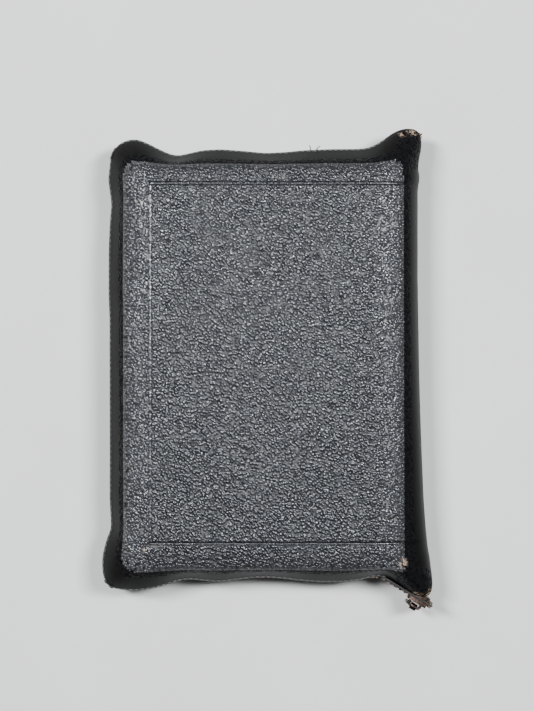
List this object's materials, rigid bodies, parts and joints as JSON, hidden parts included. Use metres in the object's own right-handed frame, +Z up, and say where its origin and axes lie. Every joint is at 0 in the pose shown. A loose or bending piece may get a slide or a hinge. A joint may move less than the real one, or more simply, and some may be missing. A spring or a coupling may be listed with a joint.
{
  "type": "prayer book",
  "caption": "Zip-around black leather prayer book with a padded cover, thin paper sections, a short ear at each end of the spine, a zip slider and a hanging pull tab.",
  "frame": {"origin": "centre of the front cover's flat outer face, which the closed book lies on", "axes": "+X to the spine, +Y to the head of the book, +Z up through the back cover"},
  "size_m": [0.1222, 0.1817, 0.034],
  "materials": {
    "black_leather": "pebbled, semi-gloss",
    "greyboard": "matt card",
    "lining_paper": "matt black paper",
    "page_paper": "matt thin paper with toned edges",
    "zip_tape": "woven",
    "zip_metal": "worn, dulled nickel over brass",
    "spine_cloth": "open weave",
    "band_thread": "silk cord"
  },
  "bodies": {
    "front_cover": {"front_cover_leather": "black_leather", "front_board": "greyboard", "front_lining": "lining_paper", "front_flyleaf": "page_paper", "front_pages": "page_paper", "lower_zip_tape": "zip_tape", "lower_zip_teeth": "zip_metal"},
    "spine": {"spine_leather": "black_leather", "spine_inlay": "greyboard", "spine_mull": "spine_cloth", "sewing_tapes": "spine_cloth", "head_band": "band_thread", "tail_band": "band_thread", "head_end_tapes": "zip_tape", "tail_end_tapes": "zip_tape", "head_end_teeth": "zip_metal", "tail_end_teeth": "zip_metal", "head_stop": "zip_metal", "tail_stops": "zip_metal"},
    "back_cover": {"back_cover_leather": "black_leather", "back_board": "greyboard", "back_lining": "lining_paper", "back_flyleaf": "page_paper", "back_pages": "page_paper", "upper_zip_tape": "zip_tape", "upper_zip_teeth": "zip_metal"},
    "leaf_1": {"leaf_1": "page_paper"},
    "leaf_2": {"leaf_2": "page_paper"},
    "leaf_3": {"leaf_3": "page_paper"},
    "slider": {"slider_body": "zip_metal", "slider_crown": "zip_metal"},
    "pull_tab": {"pull_tab": "zip_metal"}
  },
  "joints": [
    {"name": "book_open", "type": "hinge", "parent": "front_cover", "child": "spine", "pos_m": [0.0556, 0, 0.00571], "axis": [0, 1, 0], "range_deg": [0, 90]},
    {"name": "back_cover_fold", "type": "hinge", "parent": "spine", "child": "back_cover", "pos_m": [0.0556, 0, 0.02829], "axis": [0, 1, 0], "range_deg": [0, 90]},
    {"name": "leaf_1_turn", "type": "hinge", "parent": "spine", "child": "leaf_1", "pos_m": [0.0549, 0, 0.01672], "axis": [0, 1, 0], "range_deg": [-36, 0]},
    {"name": "leaf_2_turn", "type": "hinge", "parent": "spine", "child": "leaf_2", "pos_m": [0.0549, 0, 0.017], "axis": [0, 1, 0], "range_deg": [-6, 0]},
    {"name": "leaf_3_turn", "type": "hinge", "parent": "spine", "child": "leaf_3", "pos_m": [0.0549, 0, 0.01728], "axis": [0, 1, 0], "range_deg": [0, 34]},
    {"name": "slider_run", "type": "slide", "parent": "spine", "child": "slider", "axis": [-0.8572, 0.515, 0], "range_m": [0, 0.004]},
    {"name": "pull_tab_swing", "type": "hinge", "parent": "slider", "child": "pull_tab", "pos_m": [0.05617, -0.09094, 0.017], "axis": [-0.8572, 0.515, 0], "range_deg": [-10, 170]}
  ],
  "couplings": [
    {"joint": "back_cover_fold", "follows": "book_open", "ratio": 1},
    {"joint": "leaf_1_turn", "follows": "book_open", "ratio": -0.4},
    {"joint": "leaf_2_turn", "follows": "book_open", "ratio": -0.06},
    {"joint": "leaf_3_turn", "follows": "book_open", "ratio": 0.37}
  ]
}
